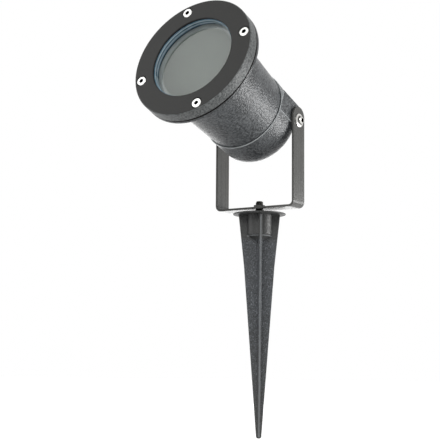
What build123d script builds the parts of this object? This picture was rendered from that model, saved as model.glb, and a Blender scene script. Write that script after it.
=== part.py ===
from build123d import *
import os
from math import cos, pi, radians, sin, sqrt

os.makedirs("parts", exist_ok=True)

# A garden spike spotlight, in millimetres. Z = 0 is soil level, the underside of the
# spike's flange, and the Z axis runs up the stud that the yoke turns on. The head
# tilts about an axis along X and looks towards -Y.

# --- clearances ---------------------------------------------------------------
running_clearance = 0.08        # radial, for a part that turns on a pin
screw_clearance = 0.3           # radial, for a screw through a plain hole
thread_clearance = 0.05         # radial, for a screw in its tapped hole
counterbore_clearance = 0.6     # radial, round a sunk screw head
end_clearance = 0.3             # between a screw's tip and the bottom of its hole
side_clearance = 0.4            # a piece dropped into a recess
part_gap = 0.2                  # along the axis, between pieces that do not press

# --- ground spike ---------------------------------------------------------------
spike_length = 155.3            # flange underside to the blunt tip
spike_top_span = 29.2           # across opposite fins under the flange
spike_waist_span = 21.4         # across opposite fins where the taper changes
spike_waist_depth = 36.0
spike_tip_span = 3.5
spike_tip_rounding = 1.5
fin_count = 4
fin_thickness = 2.0
fin_edge_rounding = 0.4
fin_turn = 36.5                 # the first fin's direction, in degrees from -Y towards +X
soil_flange_diameter = 37.0
soil_flange_thickness = 1.0
soil_flange_rounding = 0.4
socket_diameter = 17.2          # the round socket among the fins that holds the stud
socket_length = 15.2
socket_chamfer = 1.2
socket_cone_length = 4.5
socket_cone_tip = 3.0

# --- stud moulded into the spike -----------------------------------------------
stud_diameter = 5.8
stud_head_across_flats = 10.0
stud_head_height = 4.0
stud_head_depth = 12.6          # top of its hexagon head, below the flange's underside
stud_above_plate = 4.6
stud_end_chamfer = 0.7

# --- yoke -------------------------------------------------------------------------
yoke_gap = 61.6                 # between the inner faces of the arms
strip_width = 15.0
strip_thickness = 1.5
strip_edge_rounding = 0.3
yoke_bend_radius = 2.6          # inside the bends
plate_rise = 2.6                # from the flange's top to the yoke's underside
pivot_height = 60.7             # from the yoke's underside to the tilt axis
ear_reach = 9.8                 # from the tilt axis to the top of the ear
collar_diameter = 8.0           # the drawn, tapped collar in the yoke's base
collar_height = 1.8

# --- head -------------------------------------------------------------------------
head_tilt = 21.5                # degrees up from level, as photographed
head_reach = 90.6               # tilt axis to the front face, along the head
pivot_rise = 1.2                # tilt axis above the head's own axis
bezel_diameter = 90.0
bezel_thickness = 8.0
bezel_opening = 60.7
bezel_lip = 5.4                 # thickness of the lip in front of the glass
bezel_outer_chamfer = 0.7
bezel_inner_chamfer = 0.4
gasket_thickness = 0.8
gasket_inset = 0.7              # its rim, inside the bezel's
flange_thickness = 2.0
flange_fillet = 2.0
neck_diameter = 66.0            # housing just behind its flange
waist_diameter = 59.4           # housing just ahead of the shoulder
wall = 2.8
shoulder_diameter = 61.2
rear_diameter = 58.8
shoulder_reach = 22.5           # tilt axis to the shoulder, along the head
shoulder_chamfer = 0.4
rear_reach = 8.5                # tilt axis to the flat rear end
rear_rounding = 14.0

# --- pivot lugs and screws ----------------------------------------------------------
lug_face = 30.4                 # the lug's flat face, from the head's middle
lug_above = 12.3
lug_below = 3.0
lug_corner = 9.0
lug_round_radius = 7.2
seat_depth = 1.2                # the round seat for the friction washer, below the lug's face
seat_margin = 0.3               # the seat's radius over the washer's
lug_inner = 21.0                # inner end of the lug inside the housing
lug_end_wall = 1.2
pivot_screw_diameter = 5.0
pivot_head_diameter = 9.5
pivot_head_height = 2.8
pivot_head_rim = 0.5             # straight height under the dome
pivot_head_flat = 4.0           # diameter of the flat on top of the dome
pivot_dome_bulge = 0.55
pivot_socket = 3.0

# --- bezel screws -------------------------------------------------------------------
bezel_screw_edge = 5.0          # from the bezel's rim to the middle of each screw
bezel_screw_count = 4
bezel_screw_turn = 20.0         # the first screw, in degrees from the tilt axis
bezel_screw_diameter = 4.0
bezel_head_diameter = 7.0
bezel_head_height = 3.6
bezel_head_sink = 0.2
bezel_socket = 3.0
socket_drive_depth = 1.9
bezel_screw_end = 1.4           # past the back of the flange

# --- glass and its seals ---------------------------------------------------------------
glass_diameter = 64.0
glass_thickness = 4.0
glass_bevel = 0.6
seal_wall = 0.6
seal_start = 1.4                # from the front face to the seal's front edge

# --- lamp ----------------------------------------------------------------------------
lamp_diameter = 50.0
lamp_gap = 4.6                  # between the lamp's face and the glass
lamp_rim = 4.0
lamp_neck_diameter = 27.0
lamp_neck_length = 19.0
lamp_base_diameter = 22.0
lamp_base_length = 9.0
lamp_bulge = 0.58               # how far the reflector's middle has grown from neck to rim
lamp_lens_diameter = 46.0
lamp_lens_thickness = 1.6
pin_spacing = 10.0
pin_diameter = 3.2
pin_foot_diameter = 5.0
pin_length = 7.4
pin_foot_length = 2.6

# --- lampholder on its plate -----------------------------------------------------------
holder_diameter = 27.0
holder_height = 17.0
holder_pin_bore = 5.8
holder_pin_depth = 8.4
holder_screw_spacing = 18.0
holder_screw_diameter = 3.0
holder_screw_head = 5.5
holder_screw_head_height = 2.4
holder_screw_end = 1.0          # past the back of the plate
plate_screw_end = 7.0           # past the back of the plate, inside its post
holder_screw_sink = 3.4
plate_back = 10.5               # tilt axis to the back of the plate, along the head
plate_thickness = 1.2
plate_width = 12.0
plate_length = 48.0
plate_disc_diameter = 29.0      # under the lampholder
lead_hole_diameter = 3.4
post_spacing = 38.0
post_diameter = 8.0
post_root = 1.0                 # how far a post is sunk into the rear wall
tab_thickness = 1.0
tab_offset = 14.0               # lampholder axis to the tab's inner face
tab_width = 20.0
tab_height = 20.0

# --- terminal block --------------------------------------------------------------------
block_clearance = 0.9           # from the block's outer corners to the housing's wall
block_width = 20.0
block_length = 18.0
block_lift = 1.4                # above the plate's front face
pole_pitch = 5.0
tube_diameter = 3.8
tube_bore = 2.6
tube_length = 15.0
clamp_screw_diameter = 2.0
clamp_screw_length = 1.8
clamp_screw_spacing = 9.0
block_screw_diameter = 2.2
block_screw_offset = 8.4
block_corner = 1.2

# --- leads inside the housing ------------------------------------------------------------
lead_diameter = 2.2
lead_radius = 7.0
lead_end = 2.8                  # how far a lead reaches into its terminal
lead_loop = 6.9                 # below the back of the plate

# --- earth terminal ----------------------------------------------------------------------
earth_offset = 16.4
earth_post_diameter = 7.2
earth_post_top = 3.6
earth_screw_diameter = 4.0
earth_screw_head = 7.0
earth_screw_head_height = 2.4
tag_thickness = 0.8
tag_diameter = 8.4
barrel_diameter = 3.4
barrel_length = 4.0

# --- cable gland -------------------------------------------------------------------------
gland_thread_diameter = 12.0
gland_across_flats = 15.0
gland_hex_length = 4.0
gland_front_diameter = 11.4
gland_front_length = 6.0
gland_nut_length = 10.5
gland_nut_hex_length = 5.2
gland_nut_rounding = 4.0
gland_nut_gap = 0.6
gland_bore = 6.8
gland_seal_length = 5.0
gland_seal_proud = 1.2
gland_thread_end = 0.4          # past the locknut
gland_wall = 1.0
locknut_thickness = 2.6

# --- places that follow from the sizes above ----------------------------------------------
plate_bottom = soil_flange_thickness + plate_rise
plate_top = plate_bottom + strip_thickness
tilt_axis_z = plate_bottom + pivot_height
stud_top = plate_top + stud_above_plate

bezel_back = head_reach - bezel_thickness
flange_front = bezel_back - gasket_thickness
flange_back = flange_front - flange_thickness
lip_back = head_reach - bezel_lip
glass_front = lip_back - seal_wall
glass_back = glass_front - glass_thickness
recess_radius = glass_diameter / 2 + side_clearance
rear_inner = wall - rear_reach
bezel_screw_circle = bezel_diameter - 2 * bezel_screw_edge
room_radius = min(waist_diameter, rear_diameter) / 2 - wall

plate_front = plate_back + plate_thickness
holder_front = plate_front + holder_height
lamp_back = holder_front + part_gap
lamp_front = glass_back - lamp_gap
block_back = plate_front + block_lift
block_inner = tab_offset + tab_thickness
block_outer = sqrt((room_radius - block_clearance) ** 2 - (block_width / 2) ** 2)
block_middle = (block_inner + block_outer) / 2
pole_offsets = [pole_pitch * (i - 1) for i in range(3)]
lead_bottom = plate_back - lead_loop

lug_middle = (lug_above - lug_below) / 2
seat_face = lug_face - seat_depth
arm_inner = yoke_gap / 2
arm_outer = arm_inner + strip_thickness

gland_hex_back = -rear_reach - gland_hex_length
gland_front_end = gland_hex_back - gland_front_length
gland_thread_top = rear_inner + locknut_thickness + gland_thread_end

head_frame = Plane(
    origin=(
        0,
        -pivot_rise * sin(radians(head_tilt)),
        tilt_axis_z - pivot_rise * cos(radians(head_tilt)),
    ),
    x_dir=(1, 0, 0),
    z_dir=(0, -cos(radians(head_tilt)), sin(radians(head_tilt))),
)


# --- helpers --------------------------------------------------------------------------------
upright = (Align.CENTER, Align.CENTER, Align.MIN)


def rod(diameter, start, end, x=0.0, y=0.0):
    """A round bar along Z from start to end."""
    bar = Cylinder(diameter / 2, end - start, align=upright)
    return Pos(x, y, start) * bar


def side_rod(diameter, start, end, y=0.0, z=0.0):
    """A round bar along X from start to end."""
    bar = Cylinder(diameter / 2, end - start, align=upright)
    return Pos(start, y, z) * Rot(0, 90, 0) * bar


def hexagon(across_flats, start, end):
    """A hexagon bar along Z from start to end."""
    outline = RegularPolygon(across_flats / 2, 6, major_radius=False)
    return Pos(0, 0, start) * extrude(outline, amount=end - start)


def block(size_x, size_y, start, end, x=0.0, y=0.0):
    """A box with its height from start to end along Z."""
    box = Box(size_x, size_y, end - start, align=upright)
    return Pos(x, y, start) * box


def side_outline(points, corners=()):
    """A face in the XZ plane; corners holds (x, z, radius) of corners to round."""
    face = make_face(Polyline(*points, close=True))
    for x, z, radius in corners:
        corner = face.vertices().sort_by_distance(Vector(x, z, 0))[0]
        face = fillet(corner, radius)
    return Plane.XZ * face


def turned(points, corners=()):
    """A solid of revolution about Z from (radius, z) points."""
    return revolve(side_outline(points, corners), axis=Axis.Z)


def ring(outer_diameter, inner_diameter, start, end):
    """A flat ring about Z."""
    return rod(outer_diameter, start, end) - rod(inner_diameter, start, end)


def around(count, first_angle, radius):
    """Places on a circle about Z, in equal steps."""
    return [Rot(0, 0, first_angle + 360 * i / count) * Pos(radius, 0, 0) for i in range(count)]


def aimed(shape):
    """Carry a piece from the head's own frame to its photographed tilt."""
    return head_frame.location * shape


def bezel_screw_places():
    return around(bezel_screw_count, bezel_screw_turn, bezel_screw_circle / 2)


def save(name, *solids):
    """Write one named piece, as one solid or as a group of equal ones."""
    shape = solids[0] if len(solids) == 1 else Compound(children=list(solids))
    export_step(shape, f"parts/{name}.step")


# --- ground spike ---------------------------------------------------------------------------
def mounting_stud():
    head_top = -stud_head_depth
    head = hexagon(stud_head_across_flats, head_top - stud_head_height, head_top)
    shank = rod(stud_diameter, head_top, stud_top)
    shank = chamfer(shank.edges().sort_by(Axis.Z)[-1], stud_end_chamfer)
    return head + shank


def fin():
    """One long fin, from the axis out to its tapering edge."""
    outline = [
        (0, 0),
        (spike_top_span / 2, 0),
        (spike_waist_span / 2, -spike_waist_depth),
        (spike_tip_span / 2, -spike_length),
        (0, -spike_length),
    ]
    blunt = [(spike_tip_span / 2, -spike_length, spike_tip_rounding)]
    blade = extrude(side_outline(outline, corners=blunt), amount=fin_thickness / 2, both=True)
    cheeks = blade.faces().filter_by(Axis.Y)
    rims = [edge for edge in cheeks.edges() if 0 < edge.center().X and edge.center().Z < 0]
    return fillet(rims, fin_edge_rounding)


def ground_spike():
    flange = rod(soil_flange_diameter, 0, soil_flange_thickness)
    flange = fillet(flange.edges().filter_by(GeomType.CIRCLE), soil_flange_rounding)
    socket = rod(socket_diameter, -socket_length, 0)
    socket = chamfer(socket.edges().sort_by(Axis.Z)[0], socket_chamfer)
    cone_top = -socket_length
    cone = Pos(0, 0, cone_top) * Rot(180, 0, 0) * Cone(
        socket_diameter / 2 - socket_chamfer,
        socket_cone_tip / 2,
        socket_cone_length,
        align=upright,
    )
    spike = flange + socket + cone
    for place in around(fin_count, fin_turn - 90, 0):
        spike += place * fin()
    return spike - mounting_stud()


# --- yoke -----------------------------------------------------------------------------------
def yoke():
    top = tilt_axis_z + ear_reach
    outer_bend = yoke_bend_radius + strip_thickness
    profile = side_outline(
        [
            (-arm_outer, top),
            (-arm_outer, plate_bottom),
            (arm_outer, plate_bottom),
            (arm_outer, top),
            (arm_inner, top),
            (arm_inner, plate_top),
            (-arm_inner, plate_top),
            (-arm_inner, top),
        ],
        corners=[
            (-arm_outer, plate_bottom, outer_bend),
            (arm_outer, plate_bottom, outer_bend),
            (arm_inner, plate_top, yoke_bend_radius),
            (-arm_inner, plate_top, yoke_bend_radius),
        ],
    )
    strip = extrude(profile, amount=strip_width / 2, both=True)
    ear_centre = top - strip_width / 2
    side_view = block(2 * arm_outer, strip_width, 0, ear_centre)
    side_view += side_rod(strip_width, -arm_outer, arm_outer, z=ear_centre)
    strip = strip & side_view
    rims = strip.edges().filter_by(Axis.X, reverse=True).filter_by(Axis.Y, reverse=True)
    strip = fillet(rims, strip_edge_rounding)
    strip += rod(collar_diameter, plate_bottom, plate_top + collar_height)
    strip -= rod(stud_diameter + 2 * running_clearance, 0, stud_top)
    hole = pivot_screw_diameter + 2 * running_clearance
    return strip - side_rod(hole, -arm_outer, arm_outer, z=tilt_axis_z)


# --- housing --------------------------------------------------------------------------------
def housing_outside():
    rear = rear_diameter / 2
    neck = neck_diameter / 2
    return turned(
        [
            (0, -rear_reach),
            (rear, -rear_reach),
            (shoulder_diameter / 2, shoulder_reach - shoulder_chamfer),
            (shoulder_diameter / 2 - shoulder_chamfer, shoulder_reach),
            (waist_diameter / 2, shoulder_reach),
            (neck, flange_back),
            (bezel_diameter / 2, flange_back),
            (bezel_diameter / 2, flange_front),
            (0, flange_front),
        ],
        corners=[(rear, -rear_reach, rear_rounding), (neck, flange_back, flange_fillet)],
    )


def housing_inside():
    rear = rear_diameter / 2 - wall
    return turned(
        [
            (0, rear_inner),
            (rear, rear_inner),
            (waist_diameter / 2 - wall, shoulder_reach),
            (neck_diameter / 2 - wall, flange_back),
            (recess_radius, flange_back),
            (recess_radius, flange_front),
            (0, flange_front),
        ],
        corners=[(rear, rear_inner, rear_rounding - wall)],
    )


def pivot_rod(side, diameter, start, end):
    """A round bar about the tilt axis, on one side of the head."""
    ends = sorted([side * start, side * end])
    return side_rod(diameter, *ends, y=pivot_rise)


def lug(side):
    """A flat-faced pad from the shoulder back to the pivot, round about the tilt axis."""
    points = [
        (-lug_below, 0),
        (-lug_below, shoulder_reach),
        (lug_above, shoulder_reach),
        (lug_above, -lug_round_radius),
        (0, -lug_round_radius),
        (0, 0),
    ]
    outline = make_face(Polyline(*points, close=True))
    corner = outline.vertices().sort_by_distance(Vector(lug_above, -lug_round_radius, 0))[0]
    outline = fillet(corner, lug_corner)
    pad = Pos(lug_inner, 0, 0) * extrude(Plane.YZ * outline, amount=lug_face - lug_inner)
    return (pad if side > 0 else mirror(pad, about=Plane.YZ)) + pivot_boss(side)


def pivot_boss(side):
    return pivot_rod(side, 2 * lug_round_radius, lug_inner, lug_face)


def pivot_hole(side):
    return pivot_rod(side, pivot_screw_diameter + 2 * thread_clearance, lug_inner + lug_end_wall, lug_face)


def housing():
    outside = housing_outside()
    room = housing_inside()
    shell = outside
    for side in (-1, 1):
        flat_middle = side * (lug_face + wall / 2)
        shell -= block(wall, lug_above + lug_below, 0, shoulder_reach, x=flat_middle, y=lug_middle)
        shell += lug(side)
        shell -= pivot_rod(side, 2 * (lug_round_radius + seat_margin), seat_face, lug_face + wall)
        room -= pivot_boss(side)
    shell -= room
    for side in (-1, 1):
        shell -= pivot_hole(side)
        post_y = side * post_spacing / 2
        shell += rod(post_diameter, rear_inner - post_root, plate_back, y=post_y) & outside
        shell -= rod(holder_screw_diameter + 2 * thread_clearance, rear_inner, plate_back, y=post_y)
    shell += rod(earth_post_diameter, rear_inner - post_root, earth_post_top, x=-earth_offset) & outside
    shell -= rod(earth_screw_diameter + 2 * thread_clearance, rear_inner, earth_post_top, x=-earth_offset)
    shell -= rod(gland_thread_diameter + 2 * thread_clearance, -rear_reach, rear_inner)
    for place in bezel_screw_places():
        shell -= place * rod(bezel_screw_diameter + 2 * thread_clearance, flange_back, flange_front)
    return shell


# --- front: bezel, glass and seals ------------------------------------------------------------
def bezel_ring():
    outer = bezel_diameter / 2
    opening = bezel_opening / 2
    body = turned(
        [
            (opening, lip_back),
            (opening, head_reach - bezel_inner_chamfer),
            (opening + bezel_inner_chamfer, head_reach),
            (outer - bezel_outer_chamfer, head_reach),
            (outer, head_reach - bezel_outer_chamfer),
            (outer, bezel_back),
            (recess_radius, bezel_back),
            (recess_radius, lip_back),
        ]
    )
    seat = head_reach - bezel_head_sink - bezel_head_height
    for place in bezel_screw_places():
        body -= place * rod(bezel_head_diameter + 2 * counterbore_clearance, seat, head_reach)
        body -= place * rod(bezel_screw_diameter + 2 * screw_clearance, bezel_back, seat)
    return body


def bezel_screw():
    top = head_reach - bezel_head_sink
    seat = top - bezel_head_height
    head = rod(bezel_head_diameter, seat, top)
    head = chamfer(head.edges().sort_by(Axis.Z)[-1], bezel_inner_chamfer)
    screw = head + rod(bezel_screw_diameter, flange_back - bezel_screw_end, seat)
    return screw - hexagon(bezel_socket, top - socket_drive_depth, top)


def front_glass():
    disc = rod(glass_diameter, glass_back, glass_front)
    return chamfer(disc.edges().filter_by(GeomType.CIRCLE), glass_bevel)


def glass_seal():
    """The sleeve that lines the bezel's opening and turns out under its lip."""
    opening = bezel_opening / 2
    return turned(
        [
            (opening - seal_wall, glass_front),
            (opening - seal_wall, head_reach - seal_start),
            (opening, head_reach - seal_start),
            (opening, lip_back),
            (glass_diameter / 2, lip_back),
            (glass_diameter / 2, glass_front),
        ]
    )


def glass_seat_ring():
    inner = neck_diameter - 2 * wall
    return ring(glass_diameter, inner, flange_back, glass_back)


def body_gasket():
    gasket = ring(bezel_diameter - 2 * gasket_inset, 2 * recess_radius, flange_front, bezel_back)
    for place in bezel_screw_places():
        gasket -= place * rod(bezel_screw_diameter + 2 * screw_clearance, flange_front, bezel_back)
    return gasket


# --- lamp -------------------------------------------------------------------------------------
def lamp_body():
    rim = lamp_diameter / 2
    neck = lamp_neck_diameter / 2
    base = lamp_base_diameter / 2
    base_top = lamp_back + lamp_base_length
    neck_top = lamp_back + lamp_neck_length
    rim_back = lamp_front - lamp_rim
    with BuildLine() as half:
        Line((0, lamp_back), (base, lamp_back))
        Line((base, lamp_back), (base, base_top))
        Line((base, base_top), (neck, neck_top))
        bulge = (neck + lamp_bulge * (rim - neck), (neck_top + rim_back) / 2)
        ThreePointArc((neck, neck_top), bulge, (rim, rim_back))
        Line((rim, rim_back), (rim, lamp_front))
        Line((rim, lamp_front), (0, lamp_front))
        Line((0, lamp_front), (0, lamp_back))
    body = revolve(Plane.XZ * make_face(half.line), axis=Axis.Z)
    return body - rod(lamp_lens_diameter, lamp_front - lamp_lens_thickness, lamp_front)


def lamp_lens():
    return rod(lamp_lens_diameter, lamp_front - lamp_lens_thickness, lamp_front)


def lamp_pin(side):
    y = side * pin_spacing / 2
    tip = lamp_back - pin_length
    stem = rod(pin_diameter, tip, lamp_back, y=y)
    return stem + rod(pin_foot_diameter, tip, tip + pin_foot_length, y=y)


# --- lampholder and its plate --------------------------------------------------------------------
def lampholder():
    body = rod(holder_diameter, plate_front, holder_front)
    screw_hole = holder_screw_diameter + 2 * screw_clearance
    head_hole = holder_screw_head + 2 * screw_clearance
    for side in (-1, 1):
        y = side * pin_spacing / 2
        body -= rod(holder_pin_bore, holder_front - holder_pin_depth, holder_front, y=y)
        body -= rod(lead_diameter + 2 * part_gap, plate_front, plate_front + lead_end, y=y)
        x = side * holder_screw_spacing / 2
        body -= rod(screw_hole, plate_front, holder_front, x=x)
        body -= rod(head_hole, holder_front - holder_screw_sink, holder_front, x=x)
    return body


def holder_plate():
    plate = block(plate_width, plate_length, plate_back, plate_front)
    plate += rod(plate_disc_diameter, plate_back, plate_front)
    tab_outer = tab_offset + tab_thickness
    plate += block(tab_outer, tab_width, plate_back, plate_front, x=tab_outer / 2)
    tab_x = tab_offset + tab_thickness / 2
    plate += block(tab_thickness, tab_width, plate_back, plate_front + tab_height, x=tab_x)
    for side in (-1, 1):
        plate -= rod(lead_hole_diameter, plate_back, plate_front, y=side * pin_spacing / 2)
        screw_hole = holder_screw_diameter + 2 * screw_clearance
        plate -= rod(screw_hole, plate_back, plate_front, y=side * post_spacing / 2)
        x = side * holder_screw_spacing / 2
        plate -= rod(holder_screw_diameter + 2 * thread_clearance, plate_back, plate_front, x=x)
    for y, z in block_screw_places():
        hole = block_screw_diameter + 2 * thread_clearance
        plate -= side_rod(hole, tab_offset, tab_offset + tab_thickness, y=y, z=z)
    return plate


def holder_screw(side):
    seat = holder_front - holder_screw_sink
    x = side * holder_screw_spacing / 2
    shank = rod(holder_screw_diameter, plate_back - holder_screw_end, seat, x=x)
    return shank + rod(holder_screw_head, seat, seat + holder_screw_head_height, x=x)


def plate_screw(side):
    y = side * post_spacing / 2
    shank = rod(holder_screw_diameter, plate_back - plate_screw_end, plate_front, y=y)
    return shank + rod(holder_screw_head, plate_front, plate_front + holder_screw_head_height, y=y)


# --- terminal block --------------------------------------------------------------------------------
def block_screw_places():
    """(y, z) of the two screws that hold the block to the tab, outside its poles."""
    return [(side * block_screw_offset, block_back + block_length / 2) for side in (-1, 1)]


def clamp_screw_places():
    middle = block_back + block_length / 2
    return [(y, middle + side * clamp_screw_spacing / 2) for y in pole_offsets for side in (-1, 1)]


def terminal_tube(y):
    start = block_back + (block_length - tube_length) / 2
    tube = rod(tube_diameter, start, start + tube_length, x=block_middle, y=y)
    return tube - rod(tube_bore, start, start + tube_length, x=block_middle, y=y)


def terminal_block():
    depth = block_outer - block_inner
    body = block(depth, block_width, block_back, block_back + block_length, x=block_middle)
    body = fillet(body.edges().filter_by(Axis.Z).sort_by(Axis.X)[-2:], block_corner)
    for y in pole_offsets:
        body -= rod(tube_diameter, block_back, block_back + block_length, x=block_middle, y=y)
    for y, z in clamp_screw_places():
        body -= side_rod(clamp_screw_diameter + 2 * screw_clearance, block_middle, block_outer, y=y, z=z)
    for y, z in block_screw_places():
        body -= side_rod(block_screw_diameter + 2 * thread_clearance, block_inner, block_outer, y=y, z=z)
    return body


def clamp_screw(y, z):
    start = block_middle + tube_diameter / 2
    return side_rod(clamp_screw_diameter, start, start + clamp_screw_length, y=y, z=z)


def block_screw(y, z):
    return side_rod(block_screw_diameter, tab_offset - part_gap, block_outer, y=y, z=z)


# --- leads and earth terminal ------------------------------------------------------------------------
def lead(points):
    """An insulated lead along straight runs joined by tangent arcs."""
    route = FilletPolyline(*points, radius=lead_radius)
    start = Plane(origin=points[0], z_dir=Vector(*points[1]) - Vector(*points[0]))
    wire = sweep(start * Circle(lead_diameter / 2), path=route)
    section = pi * lead_diameter**2 / 4
    share = wire.volume / (section * route.length)
    print(f"lead: {route.length:.1f} mm long, volume {share:.4f} of section x length")
    return wire


def lamp_lead(side):
    y = side * pin_spacing / 2
    return lead(
        [
            (0, y, plate_front + lead_end - part_gap),
            (0, y, lead_bottom),
            (block_middle, y, lead_bottom),
            (block_middle, y, block_back + lead_end),
        ]
    )


def earth_lead():
    z = earth_post_top + barrel_diameter / 2
    end = -earth_offset + earth_screw_head / 2 + 2 * part_gap
    return lead([(block_middle, 0, block_back + lead_end), (block_middle, 0, z), (end, 0, z)])


def earth_tag():
    z = earth_post_top + barrel_diameter / 2
    start = -earth_offset + earth_screw_head / 2 + part_gap
    eye = rod(tag_diameter, earth_post_top, earth_post_top + tag_thickness, x=-earth_offset)
    barrel = side_rod(barrel_diameter, start, start + barrel_length, z=z)
    hole = earth_screw_diameter + 2 * screw_clearance
    eye -= rod(hole, earth_post_top, earth_post_top + tag_thickness, x=-earth_offset)
    return eye + barrel - side_rod(lead_diameter, start, start + barrel_length, z=z)


def earth_screw():
    seat = earth_post_top + tag_thickness
    shank = rod(earth_screw_diameter, rear_inner + end_clearance, seat, x=-earth_offset)
    return shank + rod(earth_screw_head, seat, seat + earth_screw_head_height, x=-earth_offset)


# --- cable gland ---------------------------------------------------------------------------------------
def gland_body():
    body = hexagon(gland_across_flats, gland_hex_back, -rear_reach)
    body += rod(gland_thread_diameter, -rear_reach, gland_thread_top)
    body += rod(gland_front_diameter, gland_front_end, gland_hex_back)
    body -= rod(gland_bore, gland_front_end, gland_thread_top)
    seal_seat = gland_front_diameter - 2 * gland_wall
    return body - rod(seal_seat, gland_front_end, gland_front_end + gland_seal_length)


def gland_seal():
    outer = gland_front_diameter - 2 * gland_wall
    start = gland_front_end - gland_seal_proud
    return ring(outer, gland_bore, start, gland_front_end + gland_seal_length)


def gland_nut():
    """The domed cap nut that squeezes the seal round the cord."""
    top = gland_hex_back - gland_nut_gap
    end = top - gland_nut_length
    rim = gland_across_flats / 2
    nut = hexagon(gland_across_flats, top - gland_nut_hex_length, top)
    nut += turned([(0, end), (rim, end), (rim, top), (0, top)], corners=[(rim, end, gland_nut_rounding)])
    nut -= rod(gland_front_diameter + 2 * running_clearance, gland_front_end - gland_seal_proud, top)
    return nut - rod(gland_bore + 2 * part_gap, end, top)


def gland_locknut():
    end = rear_inner + locknut_thickness
    nut = hexagon(gland_across_flats, rear_inner, end)
    return nut - rod(gland_thread_diameter + 2 * thread_clearance, rear_inner, end)


# --- pivot ----------------------------------------------------------------------------------------------
def friction_washer(side):
    washer = pivot_rod(side, 2 * lug_round_radius, seat_face, arm_inner)
    return washer - pivot_rod(side, pivot_screw_diameter + 2 * thread_clearance, seat_face, arm_inner)


def pivot_screw(side):
    """A button-head screw: a low dome with a hexagon socket."""
    rim = (pivot_head_diameter / 2, pivot_head_rim)
    flat = (pivot_head_flat / 2, pivot_head_height)
    with BuildLine() as half:
        Line((0, 0), (rim[0], 0))
        Line((rim[0], 0), rim)
        SagittaArc(rim, flat, pivot_dome_bulge)
        Line(flat, (0, pivot_head_height))
        Line((0, pivot_head_height), (0, 0))
    head = revolve(Plane.XZ * make_face(half.line), axis=Axis.Z)
    head -= hexagon(pivot_socket, pivot_head_height - socket_drive_depth, pivot_head_height)
    screw = Pos(arm_outer, pivot_rise, 0) * Rot(0, 90, 0) * head
    screw += pivot_rod(1, pivot_screw_diameter, lug_inner + lug_end_wall + end_clearance, arm_outer)
    return screw if side > 0 else mirror(screw, about=Plane.YZ)


# --- write every piece ------------------------------------------------------------------
sides = (-1, 1)

save("ground_spike", ground_spike())
save("mounting_stud", mounting_stud())
save("yoke", yoke())

save("housing", aimed(housing()))
save("bezel_ring", aimed(bezel_ring()))
save("bezel_screws", *[aimed(place * bezel_screw()) for place in bezel_screw_places()])
save("front_glass", aimed(front_glass()))
save("glass_seal", aimed(glass_seal()))
save("glass_seat_ring", aimed(glass_seat_ring()))
save("body_gasket", aimed(body_gasket()))

save("lamp_body", aimed(lamp_body()))
save("lamp_lens", aimed(lamp_lens()))
save("lamp_pins", *[aimed(lamp_pin(side)) for side in sides])
save("lampholder", aimed(lampholder()))
save("holder_plate", aimed(holder_plate()))
save("holder_screws", *[aimed(holder_screw(side)) for side in sides])
save("plate_screws", *[aimed(plate_screw(side)) for side in sides])

save("terminal_block", aimed(terminal_block()))
save("terminal_tubes", *[aimed(terminal_tube(y)) for y in pole_offsets])
save("clamp_screws", *[aimed(clamp_screw(y, z)) for y, z in clamp_screw_places()])
save("block_screws", *[aimed(block_screw(y, z)) for y, z in block_screw_places()])
save("live_lead", aimed(lamp_lead(1)))
save("neutral_lead", aimed(lamp_lead(-1)))
save("earth_lead", aimed(earth_lead()))
save("earth_tag", aimed(earth_tag()))
save("earth_screw", aimed(earth_screw()))

save("gland_body", aimed(gland_body()))
save("gland_seal", aimed(gland_seal()))
save("gland_nut", aimed(gland_nut()))
save("gland_locknut", aimed(gland_locknut()))

save("friction_washers", *[aimed(friction_washer(side)) for side in sides])
save("pivot_screws", *[aimed(pivot_screw(side)) for side in sides])
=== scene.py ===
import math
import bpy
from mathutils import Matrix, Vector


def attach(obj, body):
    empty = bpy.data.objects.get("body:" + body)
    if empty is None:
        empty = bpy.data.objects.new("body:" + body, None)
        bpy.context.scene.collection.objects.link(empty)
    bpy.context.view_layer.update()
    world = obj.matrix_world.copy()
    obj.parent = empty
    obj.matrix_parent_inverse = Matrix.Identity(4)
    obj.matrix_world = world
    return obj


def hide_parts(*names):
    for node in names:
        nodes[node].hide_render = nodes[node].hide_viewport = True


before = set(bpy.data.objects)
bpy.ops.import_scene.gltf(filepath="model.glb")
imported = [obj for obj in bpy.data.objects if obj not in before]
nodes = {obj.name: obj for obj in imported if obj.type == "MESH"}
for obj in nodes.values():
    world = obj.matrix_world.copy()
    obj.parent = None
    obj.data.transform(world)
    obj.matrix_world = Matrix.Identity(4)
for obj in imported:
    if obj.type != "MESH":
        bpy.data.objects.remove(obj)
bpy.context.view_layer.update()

# %% [markdown]
# # A garden spike spotlight
#
# The real light is a die-cast head on a bent steel yoke, and the yoke turns on a stud in a
# plastic ground spike. The imported model already holds every solid in its right place, so this
# script dresses it. It gives each piece the finish of the real one, makes the stud's thread and
# the ground glass anew, and then lights the whole and sets up the camera.

MM = 0.001
print("pieces in the model:", len(nodes))

# %% [markdown]
# The head is tilted up, so its round pieces are easiest to describe along the head itself.
# `tilt_axis` is the point the head turns about, `forwards` runs out through the glass and
# `upwards` is square to it. The head's own middle line passes a little under the tilt axis,
# at `head_base`. `head_matrix` takes a point from the head's own directions, which are
# sideways, upwards and forwards, to its place in the model.

# %% The head's own directions
HEAD_TILT = math.radians(21.5)
TILT_AXIS_HEIGHT, PIVOT_RISE = 64.3, 1.2
FRONT_FACE = 90.6

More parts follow.
